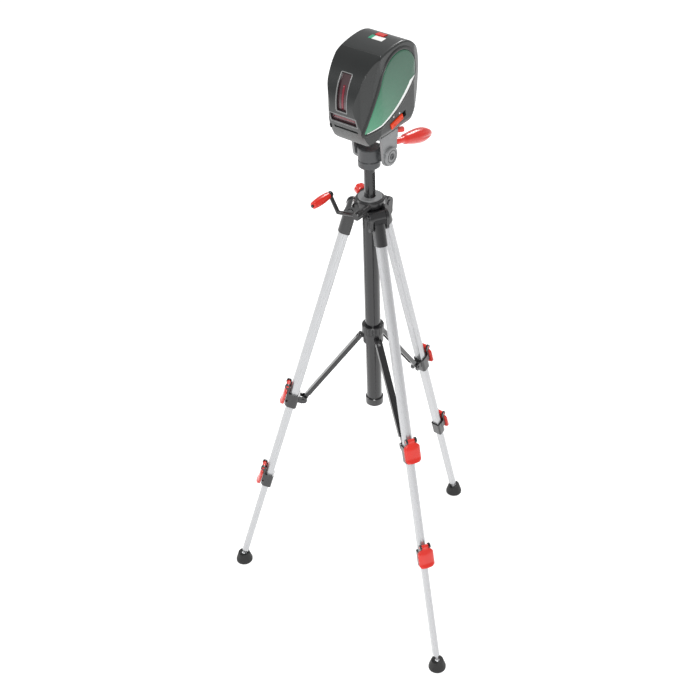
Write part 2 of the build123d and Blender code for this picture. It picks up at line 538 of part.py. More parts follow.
def tilt_plate_outline():
    """Side plate in (back, up) from the tilt axis, with the notch that the handle's neck passes."""
    top = PLATFORM_RISE
    round_foot = Circle(PLATE_R)
    riser = make_face(Polyline((-PLATE_R, 0), (-PLATFORM_HALF, top), (PLATFORM_HALF, top),
                               (PLATFORM_HALF, 13), (PLATE_R - 1.5, 6), (PLATE_R, 0), (-PLATE_R, 0)))
    notch = Pos(PLATFORM_HALF, 15) * Rectangle(10, 12)
    return round_foot + riser - notch


def tilt_bracket():
    """Two side plates, the platform under the laser and the boss of the handle."""
    inner = BARREL_HALF + 0.3
    body = None
    for low in (-inner - PLATE_THICK, inner):
        plate = slab(tilt_plate_outline(), low, low + PLATE_THICK)
        body = plate if body is None else body + plate
    half = inner + PLATE_THICK
    body += block((-half, half), (-PLATFORM_HALF, PLATFORM_HALF),
                  (PLATFORM_RISE - PLATFORM_THICK, PLATFORM_RISE))
    body += block((HANDLE_X - 7, inner + 1), (12.5, 20), (2.5, BOSS_TOP))
    body -= rod(SCREW_R + SLIDE, 10, (0, 0, PLATFORM_RISE - 8))
    body -= rod(TILT_BOLT_R, 80, (-40, 0, 0), (1, 0, 0))
    body -= block((-20, 20), (-8, 13), (2, PLATFORM_RISE - PLATFORM_THICK))
    body -= rod(BARREL_R + GAP, 2 * inner, (-inner, 0, 0), (1, 0, 0))
    body -= handle_place() * rod(HANDLE_STUD_R + RUN, 30, (0, 0, -HANDLE_STUD - GAP))
    body -= handle_place() * rod(HANDLE_NECK_R + 1, 30, (0, 0, 0))
    return Pos(0, TILT_BACK, TILT_Z) * body


def handle_place():
    """Start of the handle's neck, Z pointing along the handle, from the tilt axis."""
    return Pos(HANDLE_X, HANDLE_BACK - 3.0, HANDLE_RISE) * Rot(-90 - HANDLE_DIP, 0, 0)


def tilt_disc():
    """Tilt bolt with its round cap on one side and its nut on the other."""
    face = BARREL_HALF + 0.3 + PLATE_THICK
    cap = rod(DISC_R, DISC_THICK, (face, 0, 0), (1, 0, 0))
    cap = chamfer(cap.edges().sort_by(Axis.X)[-1], 0.8)
    ring = rod(4.6, 5, (face + DISC_THICK - 1.0, 0, 0), (1, 0, 0))
    cap -= ring - rod(3.4, 5, (face + DISC_THICK - 1.0, 0, 0), (1, 0, 0))
    bolt = rod(TILT_BOLT_R, 2 * face + 3, (-face - 3, 0, 0), (1, 0, 0))
    nut = extrude(Plane.YZ * RegularPolygon(5.5, 6), 3.0)
    return Pos(0, TILT_BACK, TILT_Z) * (cap + bolt + Pos(-face - 3, 0, 0) * nut)


def handle_profile():
    """Half section of the handle in (radius, along), from the stud to the rounded end."""
    neck, total = HANDLE_NECK, HANDLE_NECK + HANDLE_GRIP
    stem = Polyline((0, -HANDLE_STUD), (HANDLE_STUD_R, -HANDLE_STUD), (HANDLE_STUD_R, GAP),
                    (HANDLE_NECK_R - 0.6, GAP), (HANDLE_NECK_R, neck - 6))
    swell = Spline((HANDLE_NECK_R, neck - 6), (HANDLE_GRIP_R * 0.72, neck + 8),
                   (HANDLE_GRIP_R, neck + 0.5 * HANDLE_GRIP), (HANDLE_GRIP_R * 0.86, total - 9),
                   (0, total), tangents=[(0.1, 1), (-1, 0)])
    axis = Line((0, total), (0, -HANDLE_STUD))
    return make_face(stem.edges() + swell.edges() + axis.edges())


def tilt_handle():
    body = revolve(Plane.XZ * handle_profile(), Axis.Z)
    return Pos(0, TILT_BACK, TILT_Z) * handle_place() * body


def mounting_screw():
    """Camera screw with the lever that turns it, under the platform."""
    top = PLATFORM_RISE - PLATFORM_THICK - GAP
    body = rod(SCREW_R, SCREW_REACH + PLATFORM_THICK + GAP + 1, (0, 0, top - 1))
    body += rod(LEVER_HEAD_R, LEVER_ARM_THICK, (0, 0, top - LEVER_ARM_THICK))
    arm = block((0, LEVER_ARM), (-LEVER_ARM_HALF, LEVER_ARM_HALF), (top - LEVER_ARM_THICK, top))
    arm = fillet(arm.edges().filter_by(Axis.Z).group_by(Axis.X)[-1], LEVER_ARM_HALF - 0.4)
    return Pos(0, TILT_BACK, TILT_Z) * (body + Rot(0, 0, LEVER_ARM_ANGLE) * arm)


# ---------------------------------------------------------------- laser: outlines
def side_outline():
    """Side view of the laser, as (forward, height): tangent arcs over a flat base."""
    top, shoulder, nose = (CROWN_CENTRE[0], LASER_HEIGHT), (8, LASER_HEIGHT - 4), (LASER_FRONT, 47)
    back, heel = (LASER_REAR, CROWN_CENTRE[1]), (-62, 20)
    roof = TangentArc(top, shoulder, tangent=(1, 0))
    face = TangentArc(shoulder, nose, tangent=roof % 1)
    chin = TangentArc(nose, (BASE_FRONT, 0), tangent=face % 1)
    floor = Line((BASE_FRONT, 0), (BASE_REAR, 0))
    dome = CenterArc(CROWN_CENTRE, CROWN_R, 90, 90)
    spine = TangentArc(back, heel, tangent=(0, -1))
    tail = TangentArc(heel, (BASE_REAR, 0), tangent=spine % 1)
    return make_face([roof, face, chin, floor, dome, spine, tail])


def plan_outline():
    """Top view, as (forward, sideways): square shoulders, narrower nose and tail."""
    rear, front = LASER_REAR - 2, LASER_FRONT + 2
    half = [(rear, TAIL_HALF), (TAIL_START, LASER_HALF), (NOSE_START, LASER_HALF), (front, NOSE_HALF)]
    mirrored = [(along, -across) for along, across in reversed(half)]
    face = make_face(Polyline(*half, *mirrored, half[0]))
    return fillet(face.vertices().group_by(Axis.X)[-1], NOSE_ROUND)


def front_outline():
    """Front view, as (sideways, height): a tall rectangle with a round keel."""
    tall = LASER_HEIGHT + 20
    face = Pos(0, tall / 2) * Rectangle(2 * LASER_HALF + 0.2, tall)
    return fillet(face.vertices().group_by(Axis.Y)[0], KEEL_ROUND)


def parting_outline():
    """The region ahead of the joint between the grey housing and the front cover."""
    edges = [
        ThreePointArc((0, 135), (25, 92), (30, 60)),
        ThreePointArc((30, 60), (36, 34), (52, 4)),
        Polyline((52, 4), (90, 4), (90, 135), (0, 135)),
    ]
    return make_face([edge for part in edges for edge in part.edges()])


def panel_outline():
    """Teardrop side panel, as (forward, height)."""
    rear, front_top, toe = (-61, 72), (12, 90), (45, 22)
    dome = ThreePointArc(rear, (-28, 114), front_top)
    front = TangentArc(front_top, toe, tangent=dome % 1)
    return make_face([dome, front, ThreePointArc(toe, (-12, 33), rear)])


def side_prism(face, low, high):
    """A (forward, height) outline swept across the laser between two X values."""
    plane = Plane(origin=(low, 0, LASER_Z), x_dir=(0, -1, 0), z_dir=(-1, 0, 0))
    return extrude(plane * face, -(high - low))


def plan_prism(face):
    """A (forward, sideways) outline swept over the laser's height."""
    plane = Plane(origin=(0, 0, LASER_Z - 5), x_dir=(0, -1, 0), z_dir=(0, 0, 1))
    return extrude(plane * face, LASER_HEIGHT + 20)


def front_prism(face):
    """A (sideways, height) outline swept over the laser's length."""
    plane = Plane(origin=(0, -LASER_FRONT - 10, LASER_Z), x_dir=(1, 0, 0), z_dir=(0, -1, 0))
    return extrude(plane * face, LASER_REAR - LASER_FRONT - 20)


def laser_layer(depth, side_depth):
    """The laser's outer form, shrunk by a depth in the side view and another across."""
    half = LASER_HALF - side_depth
    side = side_outline() if depth == 0 else offset(side_outline(), -depth)
    plan = plan_outline() if side_depth == 0 else offset(plan_outline(), -side_depth)
    front = front_outline() if side_depth == 0 else offset(front_outline(), -side_depth)
    return side_prism(side, -half, half) & plan_prism(plan) & front_prism(front)


def laser_block(x, forward, height):
    """A box in laser terms: across, forward and height ranges."""
    return block(x, (-forward[1], -forward[0]), (LASER_Z + height[0], LASER_Z + height[1]))


def cross_rod(radius, x, at):
    """A rod across the laser at a (forward, height) point."""
    return rod(radius, x[1] - x[0], (x[0], -at[0], LASER_Z + at[1]), (1, 0, 0))


def window_box(window, grow=0.0, low=20.0):
    half, bottom, top = window
    return laser_block((-half - grow, half + grow), (low, 80), (bottom - grow, top + grow))


# ---------------------------------------------------------------- laser: shells
def laser_shell():
    outer = side_prism(side_outline(), -LASER_HALF, LASER_HALF)
    rims = outer.faces().filter_by(Axis.X).edges()
    outer = fillet(rims, EDGE_ROUND) & plan_prism(plan_outline()) & front_prism(front_outline())
    return outer - laser_layer(LASER_WALL, LASER_SIDE_WALL)


def switch_place():
    """Middle of the slide switch on the right side, its X along the travel, its Z outward."""
    lift = radians(SWITCH_TILT)
    origin = (LASER_HALF, -SWITCH_AT[0], LASER_Z + SWITCH_AT[1])
    return Plane(origin=origin, x_dir=(0, cos(lift), sin(lift)), z_dir=(1, 0, 0))


def switch_flange(travel, room):
    """The slider's inner flange, or the space it runs in when given a travel and some room."""
    return Pos(0, 0, -LASER_SIDE_WALL - GAP - SWITCH_FLANGE / 2) * Box(
        SWITCH_LENGTH + 5 + travel + 2 * room, SWITCH_WIDTH + 5 + 2 * room, SWITCH_FLANGE + 2 * room)


def battery_cover_box(gap):
    return laser_block((-COVER_HALF - gap, COVER_HALF + gap), (-90, -50),
                       (COVER_LOW - gap, COVER_HIGH + gap))


def laser_housing(shell):
    """Grey main shell with bosses, battery bay, gimbal posts and board posts inside."""
    body = shell - side_prism(parting_outline(), -50, 50)
    body -= battery_cover_box(GAP)
    for side in (-1, 1):
        body -= panel_slice(side, PANEL_DEPTH, PANEL_PROUD + 1)
    inside = laser_layer(LASER_WALL - 0.2, LASER_SIDE_WALL - 0.2)
    body += inside & housing_ribs()
    opening = Box(SWITCH_LENGTH + SWITCH_TRAVEL + 2 * GAP, SWITCH_WIDTH + 2 * GAP, 20)
    body -= switch_place() * Pos(SWITCH_TRAVEL / 2, 0, 0) * opening
    body -= switch_place() * Pos(SWITCH_TRAVEL / 2, 0, 0) * switch_flange(SWITCH_TRAVEL, GAP)
    width, depth = BUTTON_SIZE
    body -= laser_block((-width / 2 - GAP, width / 2 + GAP),
                        (BUTTON_AT - depth / 2 - GAP, BUTTON_AT + depth / 2 + GAP), (110, 140))
    for x in ((-30, -13), (13, 30)):
        body -= cross_rod(GIMBAL_PIN_R + RUN, x, GIMBAL_AT) - cross_rod(9, (-29, 29), (0, 0))
    return body - rod(SCREW_R + SLIDE, SCREW_REACH + 1, (0, TILT_BACK, LASER_Z - 1))


def housing_ribs():
    """Inner walls, trimmed to the shell by the caller."""
    low_f, high_f = PARTITION_AT - PARTITION, PARTITION_AT
    ribs = laser_block((-33, 33), (low_f, high_f), (0, 72))
    end = BATTERY_LENGTH / 2 + 0.3
    for side in (-1, 1):
        wall = sorted((side * end, side * (end + PARTITION)))
        ribs += laser_block(wall, (-80, high_f), (0, 72))
        post = sorted((side * 15.5, side * LASER_HALF))
        ribs += laser_block(post, (GIMBAL_AT[0] - 4, GIMBAL_AT[0] + 4),
                            (GIMBAL_AT[1] - 3.5, GIMBAL_AT[1] + 3.5))
    for forward in (-34, 4):
        board_post = rod(3, 12, (BOARD_X + BOARD_THICK, -forward, LASER_Z + 80), (1, 0, 0))
        ribs += board_post
    return ribs + rod(8, 13, (0, TILT_BACK, LASER_Z))


def laser_front_cover(shell):
    """Dark front cover with two recessed windows and the chin groove below them."""
    ahead = side_prism(parting_outline(), -50, 50)
    body = shell & ahead
    deep = laser_layer(0, 0.5) - laser_layer(WINDOW_RECESS + WINDOW_GLASS, LASER_SIDE_WALL)
    for window in (TALL_WINDOW, WIDE_WINDOW):
        body += deep & ahead & window_box(window, WINDOW_FRAME)
    for window in (TALL_WINDOW, WIDE_WINDOW):
        body -= window_box(window)
    for side in (-1, 1):
        body -= panel_slice(side, PANEL_DEPTH, PANEL_PROUD + 1)
    groove = laser_layer(0, 0) - laser_layer(1.2, 0)
    return body - (groove & laser_block((-19, 19), (30, 80), (22, 26)))


def laser_window(window):
    """Curved pane that follows the cover's front, set back in its frame."""
    pane = laser_layer(WINDOW_RECESS, 1) - laser_layer(WINDOW_RECESS + WINDOW_GLASS, 1)
    return pane & window_box(window)


def panel_slice(side, inner, outer):
    """The panel's outline swept through one side wall, between two depths from the outer surface."""
    low, high = sorted((0, side * (LASER_HALF + 20)))
    layer = plan_prism(offset(plan_outline(), outer)) - plan_prism(offset(plan_outline(), -inner))
    return side_prism(panel_outline(), low, high) & layer


def side_panel(side):
    """Green panel let into the side wall, bent round with it towards the nose."""
    return panel_slice(side, PANEL_DEPTH, PANEL_PROUD)


def battery_cover(shell):
    return shell & battery_cover_box(0)


def batteries():
    cells = []
    for at in BATTERIES_AT:
        half = BATTERY_LENGTH / 2
        cell = cross_rod(BATTERY_R, (-half, half - 1.2), at) + cross_rod(2.6, (half - 2, half), at)
        cells.append(cell.solid())
    return Compound(children=cells)


def power_button():
    width, depth = BUTTON_SIZE
    crown_form = side_prism(offset(side_outline(), BUTTON_PROUD), -20, 20)
    core = laser_block((-width / 2, width / 2), (BUTTON_AT - depth / 2, BUTTON_AT + depth / 2),
                       (LASER_HEIGHT - BUTTON_DEPTH - 4, LASER_HEIGHT + 8))
    flange = laser_block((-width / 2 - 1.5, width / 2 + 1.5),
                         (BUTTON_AT - depth / 2 - 1.5, BUTTON_AT + depth / 2 + 1.5),
                         (LASER_HEIGHT - BUTTON_DEPTH - 4, LASER_HEIGHT - BUTTON_DEPTH - 2.5))
    return crown_form & (core + flange)


def lock_switch():
    """Ribbed slider in the side wall, held from inside by its flange."""
    outer = SWITCH_PROUD
    slider = Pos(0, 0, (outer - LASER_SIDE_WALL - SWITCH_FLANGE) / 2) * Box(
        SWITCH_LENGTH, SWITCH_WIDTH, outer + LASER_SIDE_WALL + SWITCH_FLANGE)
    slider = chamfer(slider.edges().group_by(Axis.Z)[-1], 0.8)
    for rib in range(-4, 5):
        slider -= Pos(rib * 2.6, 0, outer) * Box(0.9, SWITCH_WIDTH - 2.4, 1.2)
    return switch_place() * (slider + switch_flange(0, 0))


# ---------------------------------------------------------------- laser: insides
def gimbal_ring():
    """Ring that tips about X in the housing and carries the pendulum's pins along Y."""
    forward, height = GIMBAL_AT
    z = LASER_Z + height - GIMBAL_THICK / 2
    ring = rod(GIMBAL_OUT, GIMBAL_THICK, (0, -forward, z))
    ring -= rod(GIMBAL_IN, GIMBAL_THICK + 2, (0, -forward, z - 1))
    for x in ((-19, -GIMBAL_OUT + 1), (GIMBAL_OUT - 1, 19)):
        ring += cross_rod(GIMBAL_PIN_R, x, GIMBAL_AT)
    return ring - rod(GIMBAL_PIN_R + RUN, 60, (0, -forward - 30, LASER_Z + height), (0, 1, 0))


def laser_pendulum():
    """Carriage that hangs from the gimbal, with two line modules and the damping weight."""
    forward, height = GIMBAL_AT
    y, z = -forward, LASER_Z + height
    body = rod(GIMBAL_PIN_R, 2 * GIMBAL_OUT, (0, y - GIMBAL_OUT, z), (0, 1, 0))
    body += rod(3.2, 20, (0, y, z - 18))
    body += laser_block((-9, 9), (forward - 12, forward + 12), (MODULES_AT[1] - 8, height - 13))
    for module_height in MODULES_AT:
        start = (0, -MODULE_BACK, LASER_Z + module_height)
        body += rod(MODULE_R, MODULE_FRONT - MODULE_BACK, start, (0, -1, 0))
    return body + rod(9, 14, (0, y, LASER_Z + MODULES_AT[1] - 20))


def circuit_board():
    return laser_block((BOARD_X, BOARD_X + BOARD_THICK), (-40, 10), (40, 88))


# ---------------------------------------------------------------- writing
def write(name, shape):
    """One STEP per node, carried to the part's own frame."""
    export_step(Pos(0, COLUMN_Y, 0) * shape, f"parts/{name}.step")


def write_legs():
    for side, azimuth in LEGS.items():
        pieces = {
            "leg_cap": leg_cap(),
            "upper_tube": leg_tube(0, UPPER_TOP, UPPER_CLAMP),
            "upper_clamp": leg_clamp(0, UPPER_CLAMP, True),
            "upper_lever": clamp_lever(0, UPPER_CLAMP),
            "middle_tube": leg_tube(-STEP, MIDDLE_TOP, LOWER_CLAMP),
            "lower_clamp": leg_clamp(-STEP, LOWER_CLAMP, False),
            "lower_lever": clamp_lever(-STEP, LOWER_CLAMP),
            "lower_tube": lower_tube(),
        }
        for name, shape in pieces.items():
            write(f"{side}_{name}", on_leg(azimuth, shape))
        write(f"{side}_foot", foot(azimuth))
        write(f"{side}_strut", brace_strut(azimuth))


def write_stand():
    write("crown", crown())
    write("leg_hinge_pins", hinge_pins())
    write("guide_tube", guide_tube())
    write("tube_end_cap", tube_end_cap())
    write("crown_ring", crown_ring())
    write("centre_column", column())
    write("crank", crank())
    write("crank_grip", crank_grip())
    write("column_lock_knob", lock_knob())
    write("brace_collar", brace_collar())
    write("brace_lock_ring", brace_lock_ring())
    write("pan_base", pan_base())
    write("pan_body", pan_body())
    write("tilt_bracket", tilt_bracket())
    write("tilt_disc", tilt_disc())
    write("tilt_handle", tilt_handle())
    write("mounting_screw", mounting_screw())


def write_laser():
    shell = laser_shell()
    write("laser_housing", laser_housing(shell))
    write("laser_front_cover", laser_front_cover(shell))
    write("battery_cover", battery_cover(shell))
    write("vertical_window", laser_window(TALL_WINDOW))
    write("horizontal_window", laser_window(WIDE_WINDOW))
    write("side_panel_right", side_panel(1))
    write("side_panel_left", side_panel(-1))
    write("batteries", batteries())
    write("power_button", power_button())
    write("lock_switch", lock_switch())
    write("gimbal_ring", gimbal_ring())
    write("laser_pendulum", laser_pendulum())
    write("circuit_board", circuit_board())


os.makedirs("parts", exist_ok=True)
write_stand()
write_legs()
write_laser()
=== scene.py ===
"""Looks of the laser level on its tripod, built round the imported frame. Metres, +Z up."""
import json
from math import cos, pi, radians, sin

import bpy
import numpy as np
from mathutils import Matrix, Vector
from mathutils.bvhtree import BVHTree


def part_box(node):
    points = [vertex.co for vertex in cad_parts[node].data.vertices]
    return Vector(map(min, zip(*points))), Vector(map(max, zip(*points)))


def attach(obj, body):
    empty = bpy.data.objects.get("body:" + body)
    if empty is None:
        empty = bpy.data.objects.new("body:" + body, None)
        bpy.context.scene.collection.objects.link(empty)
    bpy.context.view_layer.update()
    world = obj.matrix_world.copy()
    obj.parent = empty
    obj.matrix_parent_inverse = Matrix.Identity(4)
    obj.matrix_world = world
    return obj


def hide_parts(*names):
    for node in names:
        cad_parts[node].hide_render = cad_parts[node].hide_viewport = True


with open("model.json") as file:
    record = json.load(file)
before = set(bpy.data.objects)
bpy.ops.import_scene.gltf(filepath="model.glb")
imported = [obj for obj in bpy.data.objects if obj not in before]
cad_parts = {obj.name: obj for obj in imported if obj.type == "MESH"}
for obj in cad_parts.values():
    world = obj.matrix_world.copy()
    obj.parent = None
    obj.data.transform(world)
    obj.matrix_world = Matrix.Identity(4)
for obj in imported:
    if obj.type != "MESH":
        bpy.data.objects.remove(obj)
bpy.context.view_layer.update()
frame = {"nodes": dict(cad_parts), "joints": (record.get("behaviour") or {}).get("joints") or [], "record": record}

NODES = frame["nodes"]
JOINTS = {joint["name"]: joint for joint in frame["joints"]}
SIDES = ("back", "left", "right")
MM = 0.001
FAR = 0.3              # rays towards the laser start this far out
INTO_FRONT = Vector((0, 1, 0))
LENS_ROWS, LENS_COLUMNS = 18, 5
TALL_WINDOW, WIDE_WINDOW = (8.0, 52.0, 100.0), (21.0, 33.0, 46.0)     # half width, low, high in mm
TALL_LENS, WIDE_LENS = (1.6, 55.0, 86.0), (17.0, 38.6, 41.0)
PANEL_CROWN = 1.2      # how far the middle of a panel stands proud of the side, in mm

# ---------------------------------------------------------------- places read from the frame
COLUMN_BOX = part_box("pan_base")
COLUMN_Y = (COLUMN_BOX[0].y + COLUMN_BOX[1].y) / 2
LASER_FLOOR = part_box("laser_housing")[0].z
LASER_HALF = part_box("laser_housing")[1].x


# ---------------------------------------------------------------- materials
def node(tree, kind, **values):
    """A shader node with its plain settings and the default values of its inputs."""
    made = tree.nodes.new(kind)
    for name, value in values.items():
        if name in made.inputs:
            made.inputs[name].default_value = value
        else:
            setattr(made, name, value)
    return made


def ranged(tree, value, low, high, to_low, to_high):
    made = node(tree, "ShaderNodeMapRange")
    for name, number in (("From Min", low), ("From Max", high), ("To Min", to_low), ("To Max", to_high)):
        made.inputs[name].default_value = number
    tree.links.new(value, made.inputs["Value"])
    return made.outputs["Result"]


def mixed(tree, share, first, second):
    """Colour mix; each colour is a tuple or a socket."""
    made = node(tree, "ShaderNodeMix", data_type="RGBA")
    tree.links.new(share, made.inputs["Factor"])
    for slot, colour in ((6, first), (7, second)):
        if isinstance(colour, tuple):
            made.inputs[slot].default_value = (*colour, 1)
        else:
            tree.links.new(colour, made.inputs[slot])
    return made.outputs[2]


def noise(tree, vector, scale, detail=3.0):
    made = node(tree, "ShaderNodeTexNoise", Scale=scale, Detail=detail)
    tree.links.new(vector, made.inputs["Vector"])
    return made.outputs["Fac"]


def along_coordinates(tree, place, direction):
    """Coordinates squeezed along a direction, so that noise runs in long lines that way."""
    along = Vector(direction).normalized()
    across = along.orthogonal().normalized()
    axes = (across, along.cross(across), along * 0.02)
    joined = node(tree, "ShaderNodeCombineXYZ")
    for axis, slot in zip(axes, ("X", "Y", "Z")):
        dot = node(tree, "ShaderNodeVectorMath", operation="DOT_PRODUCT")
        tree.links.new(place, dot.inputs[0])
        dot.inputs[1].default_value = axis
        tree.links.new(dot.outputs["Value"], joined.inputs[slot])
    return joined.outputs["Vector"]


def material(name, colour, rough, metallic=0.0, grain=0.12, grain_size=0.5, mottle=0.12,
             wear=0.25, edge=0.4, coat=0.0, along=None, paint=None):
    """Grained surface: colour mottling, roughness variation, softened edges that catch wear.

    grain_size and edge are in mm. along stretches the grain into lines, paint(tree, place, colour)
    may lay other colours over the base, such as printed fields or a painted highlight.
    """
    made = bpy.data.materials.new(name)
    made.use_nodes = True
    tree = made.node_tree
    shader = tree.nodes["Principled BSDF"]
    shader.inputs["Metallic"].default_value = metallic
    shader.inputs["Coat Weight"].default_value = coat
    shader.inputs["Coat Roughness"].default_value = 0.12
    place = node(tree, "ShaderNodeTexCoord").outputs["Object"]
    grain_place = along_coordinates(tree, place, along) if along else place
    fine = noise(tree, grain_place, 1 / (grain_size * MM), 2.0)
    broad = noise(tree, place, 45.0, 4.0)
    dark = tuple(channel * (1 - mottle) for channel in colour)
    light = tuple(min(channel * (1 + mottle), 1.0) for channel in colour)
    base = mixed(tree, broad, dark, light)
    if paint:
        base = paint(tree, place, base)
    rounded = node(tree, "ShaderNodeBevel", samples=4, Radius=edge * MM)
    facing = node(tree, "ShaderNodeVectorMath", operation="DOT_PRODUCT")
    tree.links.new(rounded.outputs["Normal"], facing.inputs[0])
    tree.links.new(node(tree, "ShaderNodeNewGeometry").outputs["Normal"], facing.inputs[1])
    rubbed = ranged(tree, facing.outputs["Value"], 0.985, 0.86, 0.0, wear)
    worn = tuple(min(channel * 1.7 + 0.04, 1.0) for channel in colour)
    tree.links.new(mixed(tree, rubbed, base, worn), shader.inputs["Base Color"])
    tree.links.new(ranged(tree, fine, 0.3, 0.7, rough * 0.85, rough * 1.15), shader.inputs["Roughness"])
    bump = node(tree, "ShaderNodeBump", Strength=grain, Distance=0.1 * MM)
    tree.links.new(fine, bump.inputs["Height"])
    tree.links.new(rounded.outputs["Normal"], bump.inputs["Normal"])
    tree.links.new(bump.outputs["Normal"], shader.inputs["Normal"])
    return made


def glass_material():
    """Dark red-tinted pane of a line module's window."""
    made = material("window_glass", (0.045, 0.02, 0.024), 0.08, grain=0.02, wear=0.0, mottle=0.3)
    shader = made.node_tree.nodes["Principled BSDF"]
    shader.inputs["Coat Weight"].default_value = 0.8
    shader.inputs["IOR"].default_value = 1.52
    return made


def label_paint(tree, place, base):
    """Green field on the left part of the white label."""
    split = node(tree, "ShaderNodeSeparateXYZ")
    tree.links.new(place, split.inputs[0])
    left = ranged(tree, split.outputs["X"], -4.2 * MM, -4.0 * MM, 1.0, 0.0)
    return mixed(tree, left, base, (0.03, 0.3, 0.17))


def green_painted_highlight(tree, place, base):
    """Painted highlight on the panel's green: lighter along the lower front edge, deep towards the top and the
    rear.
    """
    split = node(tree, "ShaderNodeSeparateXYZ")
    tree.links.new(place, split.inputs[0])
    low = ranged(tree, split.outputs["Z"], LASER_FLOOR + 20 * MM, LASER_FLOOR + 105 * MM, 1.0, 0.0)
    front = ranged(tree, split.outputs["Y"], COLUMN_Y - 35 * MM, COLUMN_Y + 55 * MM, 1.0, 0.0)
    share = node(tree, "ShaderNodeMath", operation="MULTIPLY")
    tree.links.new(low, share.inputs[0])
    tree.links.new(front, share.inputs[1])
    # painted highlight: the green turns lighter where the panel's lower front catches the light
    return mixed(tree, share.outputs[0], base, (0.07, 0.28, 0.16))


def leg_direction(side):
    return JOINTS[f"{side}_middle_slide"]["axis"]


BLACK = (0.011, 0.011, 0.012)
RED = (0.62, 0.018, 0.008)
MATERIALS = {
    "black_plastic": material("black_plastic", BLACK, 0.27, grain=0.12, grain_size=0.45, wear=0.25,
                              coat=0.35),
    "black_tube": material("black_tube", (0.012, 0.012, 0.013), 0.24, grain=0.1, metallic=0.2,
                           along=(0, 0, 1), coat=0.4, wear=0.25),
    "red_plastic": material("red_plastic", RED, 0.28, grain=0.06, grain_size=0.8, coat=0.3, wear=0.12),
    "switch_red": material("switch_red", (0.7, 0.045, 0.006), 0.38, grain=0.15, wear=0.2),
    "rubber_black": material("rubber_black", (0.01, 0.01, 0.01), 0.62, grain=0.5, grain_size=0.7,
                             mottle=0.3, wear=0.4),
    "light_grey": material("light_grey", (0.22, 0.224, 0.228), 0.34, metallic=0.3, grain=0.12,
                           grain_size=0.6, wear=0.3),
    "dark_grey": material("dark_grey", (0.05, 0.052, 0.055), 0.36, grain=0.2, grain_size=0.5, wear=0.3),
    "pin_steel": material("pin_steel", (0.02, 0.02, 0.022), 0.25, grain=0.1, coat=0.4),
    "laser_grey": material("laser_grey", (0.02, 0.022, 0.022), 0.36, grain=0.3, grain_size=0.4,
                           wear=0.22, edge=0.8, coat=0.12),
    "laser_dark": material("laser_dark", (0.01, 0.0115, 0.0115), 0.3, grain=0.16, grain_size=0.4,
                           wear=0.3, edge=0.8, coat=0.15),
    "ring_grey": material("ring_grey", (0.012, 0.013, 0.013), 0.34, grain=0.25, grain_size=0.4,
                          wear=0.3, edge=0.8),
    # laser_green: its own deep green plus a painted highlight towards the lower front
    "laser_green": material("laser_green", (0.004, 0.08, 0.038), 0.26, grain=0.04, grain_size=0.5,
                            coat=0.3, wear=0.1, mottle=0.06, paint=green_painted_highlight),
    "accent_white": material("accent_white", (0.82, 0.83, 0.82), 0.32, grain=0.04, wear=0.0),
    "frame_grey": material("frame_grey", (0.2, 0.2, 0.2), 0.28, grain=0.05, wear=0.2, metallic=0.2),
    "label_white": material("label_white", (0.8, 0.8, 0.78), 0.3, grain=0.03, paint=label_paint),
    "window_glass": glass_material(),
    "button_red": material("button_red", (0.55, 0.02, 0.015), 0.34, grain=0.1),
    "battery_wrap": material("battery_wrap", (0.04, 0.05, 0.07), 0.25, metallic=0.4, coat=0.4),
    "board_green": material("board_green", (0.02, 0.16, 0.07), 0.35, coat=0.3),
    "module_brass": material("module_brass", (0.6, 0.42, 0.16), 0.3, metallic=1.0, grain=0.2),
}
for side in SIDES:
    MATERIALS[f"{side}_silver"] = material(
        f"{side}_silver", (0.47, 0.475, 0.485), 0.3, metallic=0.7, grain=0.22, grain_size=0.35,
        mottle=0.04, wear=0.2, along=leg_direction(side))


def paint_cad_nodes():
    """Every CAD node takes the material of its slot; the legs' tubes take one per leg."""
    for part in frame["record"]["subparts"]:
        name, slot = part["node"], part["material_slot"]
        if slot == "silver_tube":
            slot = name.split("_")[0] + "_silver"
        slot = {"lock_switch": "switch_red", "power_button": "button_red"}.get(name, slot)
        mesh = NODES[name].data
        mesh.materials.clear()
        mesh.materials.append(MATERIALS[slot])


# ---------------------------------------------------------------- mesh helpers
def piece(name, points, faces, surface, body, smooth=True):
    """A finished mesh piece that rides on a CAD body."""
    mesh = bpy.data.meshes.new(name)
    mesh.from_pydata([tuple(p) for p in points], [], faces)
    mesh.materials.append(MATERIALS[surface])
    mesh.validate()
    mesh.update()
    made = bpy.data.objects.new(name, mesh)
    bpy.context.scene.collection.objects.link(made)
    if smooth:
        mesh.polygons.foreach_set("use_smooth", [True] * len(mesh.polygons))
    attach(made, body)
    return made


def grid_faces(rows, columns, wrap_rows=False, wrap_columns=False):
    """Quads over a grid of points stored row by row."""
    faces = []
    for i in range(rows if wrap_rows else rows - 1):
        for j in range(columns if wrap_columns else columns - 1):
            i2, j2 = (i + 1) % rows, (j + 1) % columns
            faces.append((i * columns + j, i2 * columns + j, i2 * columns + j2, i * columns + j2))
    return faces


def subdivided(made):
    modifier = made.modifiers.new("subdivision", "SUBSURF")
    modifier.levels = modifier.render_levels = 1


def thickened(made, thickness, offset=-1.0):
    """Gives a sheet a thickness in mm; offset 0 shares it between both faces."""
    modifier = made.modifiers.new("thickness", "SOLIDIFY")
    modifier.thickness, modifier.offset = thickness * MM, offset


def laser_point(x, forward, height):
    """A point in laser terms, in metres: across, towards the windows, above the laser's floor."""
    return Vector((x, COLUMN_Y - forward, LASER_FLOOR + height))


def surface_tree(*names):
    """A ray target made of CAD nodes."""
    points, faces = [], []
    for name in names:
        mesh = NODES[name].data
        first = len(points)
        points += [v.co.copy() for v in mesh.vertices]
        faces += [tuple(first + i for i in p.vertices) for p in mesh.polygons]
    return BVHTree.FromPolygons(points, faces)


